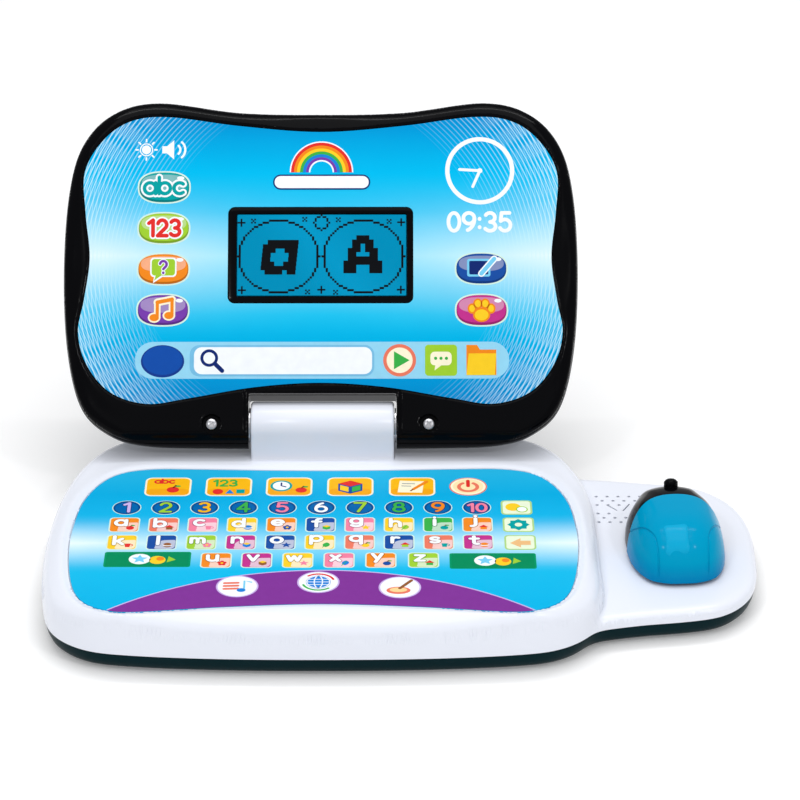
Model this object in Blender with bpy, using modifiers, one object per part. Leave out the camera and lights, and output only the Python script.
"""Toy laptop computer with a hinged lid, a flat printed keyboard and a mouse on a side pad.

Run with: blender --background --python part.py, or from Blender's text editor.

The numbers below are millimetres. Base pieces use the frame's axes: X to the right, Y away from
the user, Z up from the table, with X = 0 on the lid's centre line. Lid pieces are drawn flat in
the lid's own frame: x across, y up the lid from the hinge axis, z out of its front face. Mouse
pieces are drawn around the mouse's own centre on the pad. The empties place all three.
"""
import math

import bmesh
import bpy
from mathutils import Matrix, Vector

MM = 0.001
GAP = 0.3
MERGE = 0.00001
SHARP_ANGLE = math.radians(35)

# Heights of the base, from the table up
FOOT_HEIGHT = 1.0
FLOOR_TOP = 3.2
SEAM_Z = 9.0
PAD_TOP = 15.0
PAD_CEILING = 12.6
POCKET_FLOOR = 25.2
OVERLAY_TOP = 27.1
CREST_Z = 28.0
WALL = 2.4

# Plan of the base: the body is symmetric about BASE_X except for its right wall
BASE_X = 3.0
RIGHT_WALL = 121.8
BODY_HALF = [(0, -87.6), (45, -86.8), (84, -83.8), (103, -79.2), (116.5, -67.5), (122.3, -50),
             (124.3, -22), (123.6, 4), (121, 30), (115.5, 53), (106, 72), (91, 83.8),
             (70, 86.8), (35, 87.2), (0, 87.2)]
OVERLAY_HALF = [(0, -70.6), (42, -73), (80, -77), (94, -74.8), (104, -66.5), (109.5, -50),
                (112.2, -22), (111.5, 0), (109, 18), (103, 33.5), (94, 43.5), (80, 47.5),
                (60, 47.5), (30, 46.5), (0, 46)]
PAD_OUTLINE = [(97, -46), (101, -61), (111, -67.6), (122.5, -64.4), (142, -60), (161, -57.2),
               (177, -52.8), (188, -42.5), (194, -28), (195.6, -6), (195.3, 14), (191.5, 32),
               (183, 46), (170, 54.8), (150, 58.4), (128, 61.6), (112, 62.5), (101, 55),
               (96, 38), (94, 0)]

# Hinge: its axis runs along X, and the lid leans back from upright
HINGE_Y = 67.3
HINGE_Z = 39.5
HINGE_X = 1.0
LID_LEAN = 38.0
BARREL_HALF = 33.0
NOTCH_HALF = 34.2
NOTCH_TOP = 13.2
HINGE_BORE = 4.8
PIN_RADIUS = 4.5
PIN_BORE = 2.8
PIN_END = 43.5
CABLE_HOLE = 3.4

# Lid: half its thickness is also the radius of its round hinge end
LID_HALF_THICK = 11.0
LID_SEAM = 5.5
LID_WALL = 2.3
LID_HALF = [(0, 146.7), (38, 147.6), (76, 152.3), (98, 146.5), (112, 131), (118, 107),
            (119.7, 70), (117.5, 34), (111, 8), (99, -4.3), (82, -9.8), (50, -11), (0, -11)]
LID_OVERLAY_HALF = [(0, 136.9), (38, 139.8), (70, 144), (88, 142.3), (101, 133.5), (109.8, 118),
                    (109.2, 98), (107, 77), (109.4, 57), (111.9, 42), (108, 27), (97, 13.8),
                    (80, 8.2), (60, 10.9), (30, 16), (0, 18)]
SCREEN_AT = (0, 78.2, 0)
SCREEN_FRAME = (85.6, 45.4)
SCREEN_WINDOW = (80.0, 40.4)
LID_BOARD = (96.0, 56.0)
LID_SCREW_X = 50.0
LID_SCREW_Y = -1.0
LID_SCREW_HOLE = 1.6

# Mouse: outline around its centre, heights above the pad
MOUSE_CENTRE = (159.1, -2.5)
MOUSE_TURN = 3.6
MOUSE_HALF = [(0, -34.7), (8, -34), (15.4, -29.8), (20.5, -18.4), (22, -2.2), (21.5, 10.8),
              (17.9, 21), (12.8, 28.8), (0, 32.5)]
MOUSE_HEIGHT = 24.2
MOUSE_SHOULDER = 1.8
MOUSE_APEX_Y = -3.4
MOUSE_SKIN = 1.6
MOUSE_TRAVEL = 5.0
CLICK_TRAVEL = 1.2
COVER_ARC_CENTRE = (0, -20.8)
COVER_ARC_RADIUS = 26.7
NUB_AT = (0.5, 17.5, 20.4)
NUB_TILT = -20.0
STEM_RADIUS = 4.6
PAD_HOLE_RADIUS = 12.6
CARRIAGE_HALF = 16.0
MOUSE_BOARD_HALF = 14.0
SWITCH_AT = (0, -14)
SWITCH_TOP = 6.0

CASE_SCREWS = {"front_left": (-98, -62), "front_right": (98, -62), "rear_left": (-95, 62),
               "rear_right": (98, 62), "pad_front": (181, -38), "pad_rear": (176, 41)}
FOOT_RADIUS = 6.0
FOOT_TOP = 1.8
FEET = {"front_left": (-84, -68), "front_right": (84, -68), "rear_left": (-78, 72),
        "rear_right": (80, 72), "pad": (184, 6)}
SCREW_HOLE = 1.7
BOARD_POSTS = [(16, -48), (92, -48), (16, 30), (92, 30)]
BOARD_Z = 14.0
BOARD_THICK = 1.6
SPEAKER_CENTRE = (139.0, 34.0)

# Batteries: three AA cells across a well that opens downwards behind a door
BATTERY_CENTRE = (-44.0, -6.0)
BATTERY_WELL = (58.0, 50.0, 16.6)
DOOR_LIP = 1.2
DOOR_TONGUE = 6.0
DOOR_TOP = 2.6
DOOR_SCREW_Y = 29.0
CELL_RADIUS = 7.1
CELL_LENGTH = 50.0

# Speaker grille: rows of holes, counted from the front
GRILLE_LEFT = 127.0
GRILLE_FRONT = 20.0
GRILLE_PITCH = 5.0
GRILLE_ROW = 3.9
GRILLE_COUNTS = (3, 3, 2, 3, 3, 4, 5)
GRILLE_RADIUS = 0.8

COLOURS = {
    "white_shell": ((0.80, 0.83, 0.88, 1), 0.25, 0.0),
    "dark_shell": ((0.004, 0.022, 0.026, 1), 0.35, 0.0),
    "black_gloss": ((0.008, 0.008, 0.010, 1), 0.15, 0.0),
    "printed_blue": ((0.10, 0.55, 0.85, 1), 0.25, 0.0),
    "screen_glass": ((0.02, 0.30, 0.50, 1), 0.10, 0.0),
    "mouse_blue": ((0.0, 0.35, 0.68, 1), 0.12, 0.0),
    "rubber": ((0.02, 0.02, 0.02, 1), 0.80, 0.0),
    "steel": ((0.60, 0.60, 0.62, 1), 0.35, 1.0),
    "board_green": ((0.02, 0.22, 0.08, 1), 0.45, 0.0),
    "battery": ((0.05, 0.20, 0.10, 1), 0.35, 0.3),
    "soft_sheet": ((0.55, 0.57, 0.60, 1), 0.60, 0.0),
}


# ---------------------------------------------------------------- scene, materials and objects

def clear_scene():
    for obj in list(bpy.data.objects):
        bpy.data.objects.remove(obj, do_unlink=True)


def new_collection(name):
    group = bpy.data.collections.new(name)
    bpy.context.scene.collection.children.link(group)
    return group


clear_scene()
PARTS = new_collection("toy_laptop")
CUTTERS = new_collection("cutters")


def make_material(node, look):
    colour, roughness, metallic = COLOURS[look]
    mat = bpy.data.materials.new(node)
    mat.use_nodes = True
    shader = mat.node_tree.nodes["Principled BSDF"]
    shader.inputs["Base Color"].default_value = colour
    shader.inputs["Roughness"].default_value = roughness
    shader.inputs["Metallic"].default_value = metallic
    mat.diffuse_color = colour
    return mat


def empty(name, parent=None, location=(0, 0, 0), rotation_x=0.0):
    obj = bpy.data.objects.new(name, None)
    obj.empty_display_size = 0.01
    obj.parent = parent
    obj.location = Vector(location) * MM
    obj.rotation_euler.x = math.radians(rotation_x)
    PARTS.objects.link(obj)
    return obj


def place(obj, parent, location=(0, 0, 0), turn=(0, 0, 0)):
    obj.parent = parent
    obj.location = Vector(location) * MM
    obj.rotation_euler = [math.radians(angle) for angle in turn]
    return obj


def part(name, look, mesh, parent, location=(0, 0, 0), turn=(0, 0, 0)):
    """A named piece of the laptop, with its own material."""
    mesh.name = name
    obj = bpy.data.objects.new(name, mesh)
    mesh.materials.append(make_material(name, look))
    PARTS.objects.link(obj)
    return place(obj, parent, location, turn)


def tool(name, mesh, parent, location=(0, 0, 0), turn=(0, 0, 0)):
    """A shape that only cuts or trims other shapes."""
    obj = bpy.data.objects.new("tool_" + name, mesh)
    obj.hide_render = True
    obj.display_type = "WIRE"
    CUTTERS.objects.link(obj)
    return place(obj, parent, location, turn)


def combine(obj, operation, *others):
    """Add EXACT Booleans to obj: DIFFERENCE, UNION or INTERSECT with each other shape."""
    for other in others:
        mod = obj.modifiers.new(other.name, "BOOLEAN")
        mod.operation = operation
        mod.solver = "EXACT"
        mod.object = other
    return obj


# ---------------------------------------------------------------- outlines

def mirrored(half, shift=0.0):
    """The closed outline whose right half runs from one point on the centre line to another."""
    right = [Vector(point) for point in half]
    left = [Vector((-point.x, point.y)) for point in reversed(right[1:-1])]
    return [point + Vector((shift, 0)) for point in right + left]


def smooth(anchors, per_span):
    """Points on a closed Catmull-Rom curve through the anchors, counter-clockwise."""
    anchors = [Vector(point) for point in anchors]
    count = len(anchors)
    points = []
    for i in range(count):
        a, b, c, d = (anchors[(i + k) % count] for k in (-1, 0, 1, 2))
        for step in range(per_span):
            t = step / per_span
            points.append(0.5 * (2 * b + (c - a) * t + (2 * a - 5 * b + 4 * c - d) * t * t
                                 + (3 * b - a - 3 * c + d) * t ** 3))
    area = sum(p.cross(q) for p, q in zip(points, points[1:] + points[:1]))
    return points if area > 0 else points[::-1]


def inset(outline, distance):
    """The outline moved inwards along its own normals."""
    moved = []
    for i, point in enumerate(outline):
        along = outline[(i + 1) % len(outline)] - outline[i - 1]
        normal = Vector((-along.y, along.x)).normalized()
        moved.append(point + normal * distance)
    return moved


BODY_ANCHORS = [Vector((min(point.x, RIGHT_WALL), point.y)) + Vector((BASE_X, 0))
                for point in mirrored(BODY_HALF)]
BODY = smooth(BODY_ANCHORS, 2)
KEY_AREA = smooth(mirrored(OVERLAY_HALF, BASE_X), 2)
CREST = inset(KEY_AREA, -3.4)
PAD = smooth(PAD_OUTLINE, 2)
LID = smooth(mirrored(LID_HALF), 2)
LID_PRINT = smooth(mirrored(LID_OVERLAY_HALF), 2)
MOUSE = smooth(mirrored(MOUSE_HALF), 2)


# ---------------------------------------------------------------- shapes

def finish_mesh(bm):
    """A mesh in metres from a bmesh in millimetres, smooth except at its real edges."""
    bmesh.ops.scale(bm, verts=bm.verts, vec=(MM, MM, MM))
    bmesh.ops.recalc_face_normals(bm, faces=bm.faces)
    mesh = bpy.data.meshes.new("shape")
    bm.to_mesh(mesh)
    bm.free()
    mesh.shade_smooth()
    mesh.set_sharp_from_angle(angle=SHARP_ANGLE)
    return mesh


def evaluated_mesh(data, setup=None):
    """The welded mesh of a curve, or of a mesh after the modifier that setup adds."""
    obj = bpy.data.objects.new("shape", data)
    CUTTERS.objects.link(obj)
    if setup:
        setup(obj)
    shown = obj.evaluated_get(bpy.context.evaluated_depsgraph_get())
    mesh = bpy.data.meshes.new_from_object(shown)
    bpy.data.objects.remove(obj, do_unlink=True)
    bm = bmesh.new()
    bm.from_mesh(mesh)
    bmesh.ops.remove_doubles(bm, verts=bm.verts, dist=MERGE)
    bmesh.ops.recalc_face_normals(bm, faces=bm.faces)
    bm.to_mesh(mesh)
    bm.free()
    mesh.set_sharp_from_angle(angle=SHARP_ANGLE)
    return mesh


def loft(rings):
    """A closed solid through rings of (outline, height), with flat ends."""
    bm = bmesh.new()
    loops = [[bm.verts.new((point.x, point.y, z)) for point in outline] for outline, z in rings]
    for low, high in zip(loops, loops[1:]):
        for i in range(len(low)):
            j = (i + 1) % len(low)
            bm.faces.new((low[i], low[j], high[j], high[i]))
    bm.faces.new(loops[0])
    bm.faces.new(loops[-1])
    return finish_mesh(bm)


def profiled(outline, profile, every=1):
    """A loft of one outline through (inset, height) pairs, using every point or every nth."""
    return loft([(inset(outline, distance)[::every], z) for distance, z in profile])


def sheet(outline, z0, z1):
    """A flat outline of even thickness, as a filled 2D curve turned into a mesh."""
    curve = bpy.data.curves.new("sheet", "CURVE")
    curve.dimensions = "2D"
    curve.fill_mode = "BOTH"
    curve.extrude = (z1 - z0) / 2 * MM
    spline = curve.splines.new("POLY")
    spline.points.add(len(outline) - 1)
    for target, point in zip(spline.points, outline):
        target.co = (point.x * MM, point.y * MM, 0, 1)
    spline.use_cyclic_u = True
    mesh = evaluated_mesh(curve)
    mesh.transform(Matrix.Translation((0, 0, (z0 + z1) / 2 * MM)))
    return mesh


def tube(route, radius):
    """A round tube along a route."""
    curve = bpy.data.curves.new("tube", "CURVE")
    curve.dimensions = "3D"
    curve.bevel_depth = radius * MM
    curve.bevel_resolution = 2
    curve.use_fill_caps = True
    spline = curve.splines.new("POLY")
    spline.points.add(len(route) - 1)
    for target, point in zip(spline.points, route):
        target.co = (*(Vector(point) * MM), 1)
    return evaluated_mesh(curve)


def block(x0, x1, y0, y1, z0, z1, bevel=0.0):
    """A box between two corners, with its upright edges cut off when a bevel is given."""
    bm = bmesh.new()
    bmesh.ops.create_cube(bm, size=1)
    bmesh.ops.scale(bm, verts=bm.verts, vec=(x1 - x0, y1 - y0, z1 - z0))
    bmesh.ops.translate(bm, verts=bm.verts, vec=((x0 + x1) / 2, (y0 + y1) / 2, (z0 + z1) / 2))
    if bevel:
        upright = [e for e in bm.edges if abs(e.verts[0].co.z - e.verts[1].co.z) > 0.01]
        bmesh.ops.bevel(bm, geom=upright, offset=bevel, segments=1, affect="EDGES", profile=0.5)
    return finish_mesh(bm)


def rod(radius, z0, z1, sides=20):
    """A cylinder along Z."""
    bm = bmesh.new()
    bmesh.ops.create_cone(bm, cap_ends=True, segments=sides, radius1=radius, radius2=radius,
                          depth=z1 - z0)
    bmesh.ops.translate(bm, verts=bm.verts, vec=(0, 0, (z0 + z1) / 2))
    return finish_mesh(bm)


def turned(profile, sides=20, ring=False):
    """A profile of (radius, height), listed from the top down, turned about Z."""
    mesh = bpy.data.meshes.new("profile")
    edges = [(i, i + 1) for i in range(len(profile) - 1)]
    if ring:
        edges.append((len(profile) - 1, 0))
    mesh.from_pydata([(r * MM, 0, z * MM) for r, z in profile], edges, [])

    def turn(obj):
        screw = obj.modifiers.new("turn", "SCREW")
        screw.steps = sides
        screw.render_steps = sides
        screw.use_merge_vertices = True
        screw.merge_threshold = MERGE

    return evaluated_mesh(mesh, turn)


def screw_shape(head_radius, head_top, head_bottom, shank_radius, tip):
    """A pan-head screw with its head up and a short point."""
    point = 1.0
    return turned([(0, head_top), (head_radius * 0.7, head_top), (head_radius, head_top - 0.6),
                   (head_radius, head_bottom), (shank_radius, head_bottom),
                   (shank_radius, tip + point), (0, tip)], 8)


# ---------------------------------------------------------------- base

ROOT = empty("frame")


def bottom_shell():
    """Dark tray: floor, side wall, screw towers, board posts and the battery well."""
    edge = [(5.0, FOOT_HEIGHT), (3.0, 2.2), (1.3, 5.2), (0.5, SEAM_Z)]
    cavity = [(7.0, FLOOR_TOP), (5.0, 4.6), (3.2, 6.4), (2.6, SEAM_Z + 1)]
    shell = part("bottom_shell", "dark_shell", profiled(BODY, edge), ROOT)
    combine(shell, "UNION", tool("tray_pad", profiled(PAD, edge), ROOT))
    combine(shell, "DIFFERENCE",
            tool("tray_hollow", profiled(BODY, cavity, 2), ROOT),
            tool("tray_pad_hollow", profiled(PAD, cavity, 2), ROOT))
    floor = FLOOR_TOP - 1.2
    width, depth, height = BATTERY_WELL
    top = FLOOR_TOP + height
    wall = 2.0
    well = block(-width / 2 - wall, width / 2 + wall, -depth / 2 - wall, depth / 2 + wall, floor,
                 top, 3)
    combine(shell, "UNION", tool("well", well, ROOT, (*BATTERY_CENTRE, 0)))
    for name, at in CASE_SCREWS.items():
        tower = rod(4.8, floor, SEAM_Z - GAP, 16)
        combine(shell, "UNION", tool("tower_" + name, tower, ROOT, (*at, 0)))
    for index, at in enumerate(BOARD_POSTS):
        post = rod(2.6, floor, BOARD_Z - GAP, 12)
        combine(shell, "UNION", tool("post_%d" % index, post, ROOT, (*at, 0)))
    hollow = block(-width / 2, width / 2, -depth / 2, depth / 2, -1, top - wall, 2)
    door_seat = block(-width / 2 - DOOR_LIP, width / 2 + DOOR_LIP, -depth / 2 - DOOR_LIP,
                      depth / 2 + DOOR_LIP + DOOR_TONGUE, -1, DOOR_TOP + GAP, 2)
    x, y = BATTERY_CENTRE
    combine(shell, "DIFFERENCE",
            tool("well_hollow", hollow, ROOT, (x, y, 0)),
            tool("door_seat", door_seat, ROOT, (x, y, 0)),
            tool("door_screw_hole", rod(1.5, floor, 7, 12), ROOT, (x, y + DOOR_SCREW_Y, 0)))
    for name, at in CASE_SCREWS.items():
        hole = turned([(0, SEAM_Z + 1), (SCREW_HOLE, SEAM_Z + 1), (SCREW_HOLE, 5.0), (3.3, 5.0),
                       (3.3, -1), (0, -1)], 12)
        combine(shell, "DIFFERENCE", tool("hole_" + name, hole, ROOT, (*at, 0)))
    for name, at in FEET.items():
        seat = rod(FOOT_RADIUS + GAP, -1, FOOT_TOP + GAP, 16)
        combine(shell, "DIFFERENCE", tool("seat_" + name, seat, ROOT, (*at, 0)))


def top_shell():
    """White deck: body with the key pocket, and the lower mouse pad to its right."""
    rim = [(BODY, SEAM_Z + GAP), (BODY, 16), (shoulder(1.0, 0.12), 20.5),
           (shoulder(3.2, 0.40), 24.4), (shoulder(6.5, 0.72), 26.8), (CREST, CREST_Z),
           (inset(KEY_AREA, -0.6), OVERLAY_TOP + 0.2), (inset(KEY_AREA, -0.4), POCKET_FLOOR)]
    shell = part("top_shell", "white_shell", loft(rim), ROOT)
    pad_edge = [(0, SEAM_Z + GAP), (0, 12.2), (1.0, 14.1), (3.2, PAD_TOP)]
    combine(shell, "UNION", tool("pad", profiled(PAD, pad_edge), ROOT))
    body_ceiling = POCKET_FLOOR - WALL
    body_hollow = [(WALL, SEAM_Z - 1), (WALL, 17), (4.6, 21), (9.0, body_ceiling)]
    pad_hollow = [(WALL, SEAM_Z - 1), (WALL, 11.2), (3.6, PAD_CEILING)]
    combine(shell, "DIFFERENCE",
            tool("body_hollow", profiled(BODY, body_hollow, 2), ROOT),
            tool("pad_hollow", profiled(PAD, pad_hollow, 2), ROOT))
    for name, at in CASE_SCREWS.items():
        ceiling = PAD_CEILING if name.startswith("pad") else body_ceiling
        boss = rod(3.8, SEAM_Z + GAP, ceiling + 1, 14)
        combine(shell, "UNION", tool("boss_" + name, boss, ROOT, (*at, 0)))
    for name, at in CASE_SCREWS.items():
        pilot = rod(SCREW_HOLE, SEAM_Z - 1, PAD_CEILING + GAP, 8)
        combine(shell, "DIFFERENCE", tool("pilot_" + name, pilot, ROOT, (*at, 0)))
    combine(shell, "DIFFERENCE",
            tool("stem_opening", rod(PAD_HOLE_RADIUS, 10, 17, 28), ROOT, (*MOUSE_CENTRE, 0)),
            tool("cable_hole", rod(CABLE_HOLE, 20, 30, 12), ROOT, (HINGE_X, HINGE_Y, 0)))
    for index, at in enumerate(grille_holes()):
        hole = rod(GRILLE_RADIUS, 11, 17, 6)
        combine(shell, "DIFFERENCE", tool("grille_%02d" % index, hole, ROOT, (*at, 0)))


def shoulder(distance, share):
    """Points between the body's edge and its crest: a distance in, or a share of a narrow rim."""
    points = []
    for edge, crest in zip(BODY, CREST):
        across = crest - edge
        points.append(edge + across.normalized() * min(distance, share * across.length))
    return points


def grille_holes():
    """A staggered block of small holes over the speaker."""
    for line, count in enumerate(GRILLE_COUNTS):
        for column in range(count):
            x = GRILLE_LEFT + GRILLE_PITCH * (column + line % 2 / 2)
            yield x, GRILLE_FRONT + GRILLE_ROW * line


def keyboard():
    """Printed membrane overlay with its dome sheet under it."""
    under = OVERLAY_TOP - 0.6
    part("keyboard_overlay", "printed_blue", sheet(KEY_AREA, under, OVERLAY_TOP), ROOT)
    domes = sheet(inset(KEY_AREA, 3)[::2], POCKET_FLOOR + GAP, under - GAP)
    part("dome_sheet", "soft_sheet", domes, ROOT)


def electronics():
    """Main board on its four posts, and the speaker under the grille."""
    xs, ys = zip(*BOARD_POSTS)
    margin = 5
    board = block(min(xs) - margin, max(xs) + margin, min(ys) - margin, max(ys) + margin, BOARD_Z,
                  BOARD_Z + BOARD_THICK)
    part("main_board", "board_green", board, ROOT)
    top = PAD_CEILING - 0.4
    speaker = turned([(0, top), (15, top), (15, top - 1.6), (11.5, 8.2), (8, 8.2),
                      (8, FLOOR_TOP + 2), (0, FLOOR_TOP + 2)], 24)
    part("speaker", "black_gloss", speaker, ROOT, (*SPEAKER_CENTRE, 0))


def batteries():
    """Three AA cells side by side, their end contacts, the door and its screw."""
    width, depth, _ = BATTERY_WELL
    x, y = BATTERY_CENTRE
    cell_z = FLOOR_TOP + GAP + CELL_RADIUS
    end, cap, cap_radius = CELL_LENGTH / 2, 1.2, 2.6
    for index in range(3):
        cell = turned([(0, end), (cap_radius, end), (cap_radius, end - cap),
                       (CELL_RADIUS, end - cap), (CELL_RADIUS, -end), (0, -end)], 16)
        side = 90 if index % 2 else -90
        row = (index - 1) * (2 * CELL_RADIUS + 1.2)
        part("battery_cell_%d" % (index + 1), "battery", cell, ROOT, (x, y + row, cell_z),
             (0, side, 0))
    for name, side in (("left", -1), ("right", 1)):
        plate = block(-0.3, 0.3, -21, 21, -5, 5)
        contact_x = x + side * (width / 2 - 0.7)
        part("battery_contact_" + name, "steel", plate, ROOT, (contact_x, y, cell_z))
    lip = DOOR_LIP - GAP
    plate = block(-width / 2 - lip, width / 2 + lip, -depth / 2 - lip,
                  depth / 2 + lip + DOOR_TONGUE, FOOT_HEIGHT, DOOR_TOP, 2)
    door = part("battery_door", "dark_shell", plate, ROOT, (x, y, 0))
    screw_at = (x, y + DOOR_SCREW_Y, 0)
    combine(door, "DIFFERENCE",
            tool("door_hole", rod(1.5, 0, 5, 12), ROOT, screw_at),
            tool("door_head_seat", rod(2.8, 0, 1.7, 12), ROOT, screw_at))
    screw = part("battery_door_screw", "steel", screw_shape(2.4, 0, -0.9, 1.1, -5.4), ROOT,
                 screw_at, (180, 0, 0))
    screw.location.z = FOOT_HEIGHT / 2 * MM


def feet_and_screws():
    """Rubber feet in their seats, and the case screws sunk in their wells."""
    for name, at in FEET.items():
        foot = turned([(0, FOOT_TOP), (FOOT_RADIUS, FOOT_TOP), (FOOT_RADIUS, 0.5),
                       (FOOT_RADIUS - 0.5, 0), (0, 0)], 14)
        part("foot_" + name, "rubber", foot, ROOT, (*at, 0))
    for name, at in CASE_SCREWS.items():
        screw = screw_shape(2.9, 0, -2.0, 1.35, -10.0)
        part("case_screw_" + name, "steel", screw, ROOT, (*at, 2.6), (180, 0, 0))


def hinge():
    """White barrel on the deck, with a solid pin on the left and a hollow one for the wires."""
    axis, along_x = (HINGE_X, HINGE_Y, HINGE_Z), (0, 90, 0)
    barrel = part("hinge_barrel", "white_shell", rod(LID_HALF_THICK, -BARREL_HALF, BARREL_HALF, 40),
                  ROOT, axis, along_x)
    neck = block(-BARREL_HALF, BARREL_HALF, -LID_HALF_THICK, LID_HALF_THICK,
                 CREST_Z + 0.4 - HINGE_Z, 0)
    combine(barrel, "UNION", tool("neck", neck, ROOT, axis))
    combine(barrel, "DIFFERENCE",
            tool("barrel_bore", rod(HINGE_BORE, -40, 40, 20), ROOT, axis, along_x),
            tool("barrel_slot", rod(CABLE_HOLE, -20, 0, 12), ROOT, axis))
    inner_end = BARREL_HALF - 15
    part("hinge_pin", "steel", rod(PIN_RADIUS, -PIN_END, -inner_end, 20), ROOT, axis, along_x)
    sleeve = [(PIN_RADIUS, PIN_END), (PIN_RADIUS, inner_end), (PIN_BORE, inner_end),
              (PIN_BORE, PIN_END)]
    part("hinge_sleeve", "steel", turned(sleeve, 20, ring=True), ROOT, axis, along_x)
    mid = (BARREL_HALF + NOTCH_HALF) / 2
    washer = [(8.0, 0.3), (8.0, -0.3), (HINGE_BORE, -0.3), (HINGE_BORE, 0.3)]
    for name, side in (("left", -1), ("right", 1)):
        part("hinge_washer_" + name, "steel", turned(washer, 20, ring=True), ROOT,
             (HINGE_X + side * mid, HINGE_Y, HINGE_Z), along_x)


def wires():
    """Bundle from the main board, up inside the barrel and out along the hinge axis."""
    x, y, z = HINGE_X, HINGE_Y, HINGE_Z
    route = [(50, 20, 17.6), (40, 42, 18.4), (20, 60, 19), (x + 5, y - 1.8, 19.2),
             (x + 1, y - 0.4, 20.4), (x, y, 22.6), (x, y, 30), (x, y, 34), (x + 2.2, y, 38),
             (x + 6.5, y, z), (x + 12, y, z), (x + 30, y, z), (x + PIN_END + 1, y, z)]
    part("lid_wires", "rubber", tube(route, 1.5), ROOT)


# ---------------------------------------------------------------- lid

PIVOT = empty("lid_pivot", ROOT, (0, HINGE_Y, HINGE_Z), 90 - LID_LEAN)


def hinge_end(name, radius):
    """A thick slab with a round lower end about the hinge axis, which trims the lid."""
    angles = [math.radians(degrees) for degrees in range(0, 181, 12)]
    section = [Vector((-radius * math.sin(a), -radius * math.cos(a))) for a in angles]
    section += [Vector((200, radius)), Vector((200, -radius))]
    return tool(name, sheet(section, -130, 130), PIVOT, (0, 0, 0), (90, 0, 90))


def notch(name, margin):
    half = NOTCH_HALF + margin
    gap = block(-half, half, -30, NOTCH_TOP + margin, -20, 20)
    return tool(name, gap, PIVOT, (HINGE_X, 0, 0))


def lid_rear_shell():
    """Black back casing: rounded back edge, round hinge ends and bosses for two screws."""
    half = LID_HALF_THICK
    outer = [(7.5, -half), (4.2, 1.0 - half), (1.7, 3.6 - half), (0.4, 7.4 - half), (0, 0),
             (0, LID_SEAM - GAP)]
    hollow = [(9.4, LID_WALL - half), (4.4, 4.2 - half), (2.7, 8.0 - half), (LID_WALL, 0),
              (LID_WALL, half + 1)]
    shell = part("lid_rear_shell", "black_gloss", profiled(LID, outer), PIVOT)
    inside = tool("rear_hollow", profiled(LID, hollow, 2), PIVOT)
    combine(inside, "INTERSECT", hinge_end("rear_hollow_end", half - LID_WALL))
    combine(inside, "DIFFERENCE", notch("rear_hollow_notch", LID_WALL))
    combine(shell, "INTERSECT", hinge_end("rear_end", half))
    combine(shell, "DIFFERENCE", inside, notch("rear_notch", 0))
    bore = tool("lid_bore", rod(HINGE_BORE, -40, 40, 20), PIVOT, (HINGE_X, 0, 0), (0, 90, 0))
    combine(shell, "DIFFERENCE", bore)
    for side in (-1, 1):
        at = (side * LID_SCREW_X, LID_SCREW_Y, 0)
        boss = rod(3.6, 1 - half, LID_SEAM - GAP, 14)
        combine(shell, "UNION", tool("rear_boss", boss, PIVOT, at))
        pilot = rod(LID_SCREW_HOLE, -4, half, 12)
        combine(shell, "DIFFERENCE", tool("rear_pilot", pilot, PIVOT, at))


def lid_front_bezel():
    """Black front frame: recess for the printed sheet, screen opening and screw wells."""
    half = LID_HALF_THICK
    outer = [(0.7, LID_SEAM), (0.7, 6.6), (1.6, 8.4), (3.4, 10.1), (6.0, half)]
    hollow = [(3.2, LID_SEAM - 1), (3.2, 7.0), (5.0, 8.2)]
    bezel = part("lid_front_bezel", "black_gloss", profiled(LID, outer), PIVOT)
    inside = tool("bezel_hollow", profiled(LID, hollow, 2), PIVOT)
    combine(inside, "INTERSECT", hinge_end("bezel_hollow_end", half - LID_WALL))
    combine(inside, "DIFFERENCE", notch("bezel_hollow_notch", LID_WALL))
    combine(bezel, "INTERSECT", hinge_end("bezel_end", half))
    combine(bezel, "DIFFERENCE", inside, notch("bezel_notch", 0))
    recess = sheet(inset(LID_PRINT, -0.4), half - 0.8, half + 1)
    combine(bezel, "DIFFERENCE", tool("print_recess", recess, PIVOT),
            screen_opening("screen_opening", SCREEN_FRAME, 0.4))
    for name, side in (("left", -1), ("right", 1)):
        at = (side * LID_SCREW_X, LID_SCREW_Y, 0)
        boss = rod(5.8, LID_SEAM, half - 1, 20)
        combine(bezel, "UNION", tool("bezel_boss", boss, PIVOT, at))
        well = turned([(0, half + 1), (4.5, half + 1), (4.5, half - 2.8),
                       (LID_SCREW_HOLE, half - 2.8), (LID_SCREW_HOLE, 0), (0, 0)], 20)
        combine(bezel, "DIFFERENCE", tool("bezel_well", well, PIVOT, at))
        part("lid_screw_" + name, "steel", screw_shape(2.5, half - 1.0, half - 2.5, 1.3, -3.5),
             PIVOT, at)


def screen_plate(size, z0, z1, margin=0.0):
    """A plate of the given width and height, with a margin all round."""
    x, y = size[0] / 2 + margin, size[1] / 2 + margin
    return block(-x, x, -y, y, z0, z1)


def screen_opening(name, size, margin):
    return tool(name, screen_plate(size, 0, 20, margin), PIVOT, SCREEN_AT)


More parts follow.
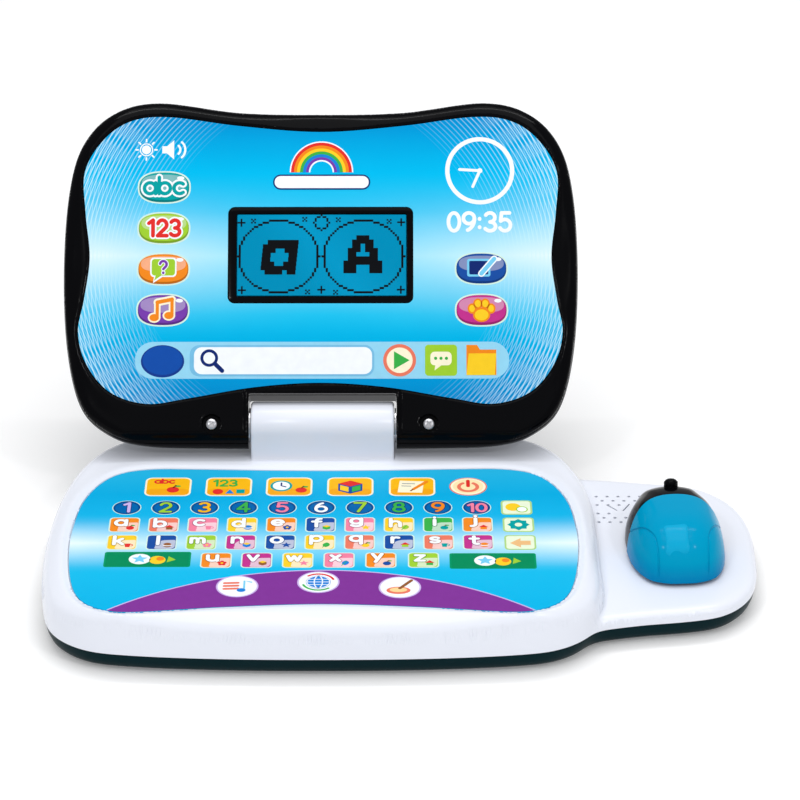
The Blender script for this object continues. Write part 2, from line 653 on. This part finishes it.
def screen():
    """Printed sheet with its opening, screen frame, window, display panel and lid board."""
    half = LID_HALF_THICK
    printed = part("lid_overlay", "printed_blue", sheet(LID_PRINT, half - 0.5, half - 0.1), PIVOT)
    combine(printed, "DIFFERENCE", screen_opening("print_opening", SCREEN_FRAME, GAP))
    frame = part("screen_frame", "black_gloss", screen_plate(SCREEN_FRAME, 8.6, half), PIVOT,
                 SCREEN_AT)
    combine(frame, "DIFFERENCE", screen_opening("frame_opening", SCREEN_WINDOW, 0))
    part("screen_window", "screen_glass", screen_plate(SCREEN_WINDOW, 9.6, 10.6, -GAP), PIVOT,
         SCREEN_AT)
    part("display_panel", "screen_glass", screen_plate(SCREEN_FRAME, 5.9, 8.1), PIVOT, SCREEN_AT)
    part("lid_board", "board_green", screen_plate(LID_BOARD, 2.0, 2.0 + BOARD_THICK), PIVOT,
         SCREEN_AT)


# ---------------------------------------------------------------- mouse

PAD_ORIGIN = empty("mouse_slides", ROOT, (*MOUSE_CENTRE, PAD_TOP))
MOUSE_ROOT = empty("mouse_centre", PAD_ORIGIN)
MOUSE_ROOT.rotation_euler.z = math.radians(MOUSE_TURN)


def mouse_dome(lower, skin):
    """The mouse's domed body from a height above the pad, skin millimetres inside its surface."""
    outline = inset(MOUSE, skin)
    apex = Vector((0, MOUSE_APEX_Y))
    rise = MOUSE_HEIGHT - skin - MOUSE_SHOULDER
    rings = [(outline, lower)]
    for degrees in (16, 30, 43, 55, 66, 76, 85):
        angle = math.radians(degrees)
        scale = math.cos(angle) ** 0.54
        z = MOUSE_SHOULDER + rise * math.sin(angle) ** 1.21
        rings.append(([apex + (point - apex) * scale for point in outline], z))
    return loft(rings)


def cover_plan(name, radius, z0):
    """An upright cylinder whose rear wall is the cover's curved rear edge."""
    return tool(name, rod(radius, z0, 40, 48), MOUSE_ROOT, (*COVER_ARC_CENTRE, 0))


def mouse_slides():
    """Carriage that slides left and right under the pad, and the stem that slides in it."""
    ceiling = PAD_CEILING - PAD_TOP
    half = CARRIAGE_HALF
    plate = block(-half, half, -half, half, ceiling - 3.4, ceiling - 0.6, 2)
    carriage = part("mouse_carriage", "white_shell", plate, PAD_ORIGIN)
    slot_x, slot_y = STEM_RADIUS + 0.6, STEM_RADIUS + MOUSE_TRAVEL + 0.6
    slot = block(-slot_x, slot_x, -slot_y, slot_y, -20, 20)
    combine(carriage, "DIFFERENCE", tool("carriage_slot", slot, PAD_ORIGIN))
    stem = turned([(0, 0), (STEM_RADIUS, 0), (STEM_RADIUS, ceiling - 4.0), (9, ceiling - 4.0),
                   (9, ceiling - 6.2), (0, ceiling - 6.2)], 20)
    part("mouse_stem", "black_gloss", stem, PAD_ORIGIN)
    half = MOUSE_BOARD_HALF
    low = FLOOR_TOP - PAD_TOP + GAP
    board = block(-half, half, -half, half, low, low + 1.3)
    part("mouse_board", "board_green", board, PAD_ORIGIN)


def mouse():
    """Black mouse body with its nub, and the blue cover that presses a switch inside."""
    base = part("mouse_base", "black_gloss", mouse_dome(0.4, 0.9), MOUSE_ROOT)
    combine(base, "DIFFERENCE", tool("base_hollow", mouse_dome(3.0, 0.9 + MOUSE_SKIN), MOUSE_ROOT))
    floor = 2.2
    under = tool("base_skirt", rod(60, -5, 10, 32), MOUSE_ROOT)
    combine(under, "DIFFERENCE",
            tool("base_plan", profiled(MOUSE, [(2.4, -9), (2.4, 20)]), MOUSE_ROOT))
    combine(under, "INTERSECT", cover_plan("skirt_front", COVER_ARC_RADIUS + GAP, -9))
    combine(base, "DIFFERENCE", cover_plan("base_front", COVER_ARC_RADIUS + GAP, floor), under)
    nub = turned([(0, 4.6), (1.5, 4.3), (2.6, 3.3), (3.0, 2.0), (2.8, 0.9), (3.5, 0.6), (3.5, -2.5),
                  (0, -2.5)], 16)
    combine(base, "UNION", tool("nub", nub, MOUSE_ROOT, NUB_AT, (NUB_TILT, 0, 0)))

    lower = CLICK_TRAVEL + GAP
    cover = part("mouse_cover", "mouse_blue", mouse_dome(lower, 0), MOUSE_ROOT)
    hollow = mouse_dome(lower - 1, MOUSE_SKIN)
    combine(cover, "DIFFERENCE", tool("cover_hollow", hollow, MOUSE_ROOT))
    combine(cover, "INTERSECT", cover_plan("cover_plan", COVER_ARC_RADIUS, -5))
    post = rod(2.2, SWITCH_TOP + lower, MOUSE_HEIGHT - 1.2, 12)
    combine(cover, "UNION", tool("cover_post", post, MOUSE_ROOT, (*SWITCH_AT, 0)))
    switch = block(-3, 3, -3, 3, floor + GAP, SWITCH_TOP)
    part("click_switch", "white_shell", switch, MOUSE_ROOT, (*SWITCH_AT, 0))


# ---------------------------------------------------------------- assembly

def stand_on_origin():
    """Move the whole laptop so that the middle of its underside is the origin."""
    bpy.context.view_layer.update()
    graph = bpy.context.evaluated_depsgraph_get()
    corners = []
    for obj in PARTS.objects:
        if obj.type == "MESH":
            shown = obj.evaluated_get(graph)
            corners += [shown.matrix_world @ vert.co for vert in shown.data.vertices]
    low = Vector([min(corner[axis] for corner in corners) for axis in range(3)])
    high = Vector([max(corner[axis] for corner in corners) for axis in range(3)])
    ROOT.location -= Vector(((low.x + high.x) / 2, (low.y + high.y) / 2, low.z))


bottom_shell()
top_shell()
keyboard()
electronics()
batteries()
feet_and_screws()
hinge()
wires()
lid_rear_shell()
lid_front_bezel()
screen()
mouse_slides()
mouse()
stand_on_origin()
